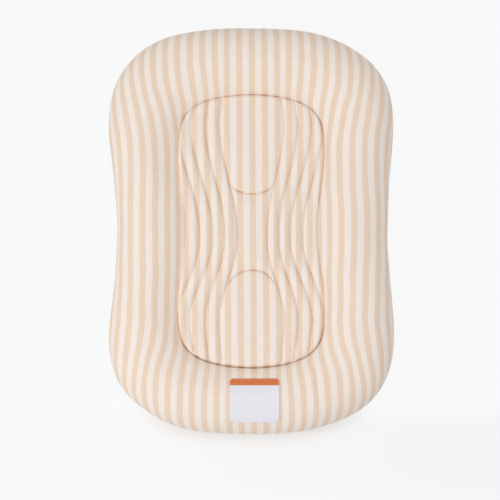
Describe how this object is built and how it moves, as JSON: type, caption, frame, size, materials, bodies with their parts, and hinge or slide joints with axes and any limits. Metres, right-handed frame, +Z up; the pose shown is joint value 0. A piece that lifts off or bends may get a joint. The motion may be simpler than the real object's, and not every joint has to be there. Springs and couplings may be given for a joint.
{
  "type": "infant lounger",
  "caption": "Low padded infant lounger: a waisted ring bolster round a contoured, channelled pad, in a striped cotton cover that unzips underneath.",
  "frame": {"origin": "on the floor under the middle of the lounger", "axes": "+Z up, +Y along the length towards the head end, +X across it"},
  "size_m": [0.5252, 0.762, 0.1016],
  "materials": {
    "striped_cotton": "woven cotton with beige and cream stripes",
    "base_cloth": "plain quilted cotton",
    "casing_cloth": "plain white casing cloth",
    "fibre_fill": "loose polyester fibre",
    "pad_foam": "soft open-cell foam",
    "patch_cloth": "smooth satin ribbon cloth with a woven orange band",
    "zip_tape": "woven tape",
    "zip_plastic": "satin moulded plastic",
    "zip_metal": "satin lacquered metal"
  },
  "bodies": {
    "lounger": {"cover_base_left": "base_cloth", "cover_base_right": "base_cloth", "cover_top": "striped_cotton", "liner_top": "casing_cloth", "bolster_fill": "fibre_fill", "liner_base": "casing_cloth", "base_foam": "pad_foam", "pad_backing": "casing_cloth", "pad_core": "pad_foam", "pad_face": "striped_cotton", "label_patch": "patch_cloth", "zip_tape_left": "zip_tape", "zip_tape_right": "zip_tape", "zip_teeth_left": "zip_plastic", "zip_teeth_right": "zip_plastic", "zip_top_stop_left": "zip_metal", "zip_top_stop_right": "zip_metal", "zip_bottom_stop": "zip_metal"},
    "zip_slider": {"zip_slider": "zip_metal", "zip_slider_back": "zip_metal"},
    "zip_pull": {"zip_pull": "zip_metal"}
  },
  "joints": [
    {"name": "zip_slide", "type": "slide", "parent": "lounger", "child": "zip_slider", "axis": [0, -1, 0], "range_m": [0, 0.466]},
    {"name": "pull_swing", "type": "hinge", "parent": "zip_slider", "child": "zip_pull", "pos_m": [0, 0.234, 0.0016], "axis": [1, 0, 0], "range_deg": [0, 150]}
  ]
}
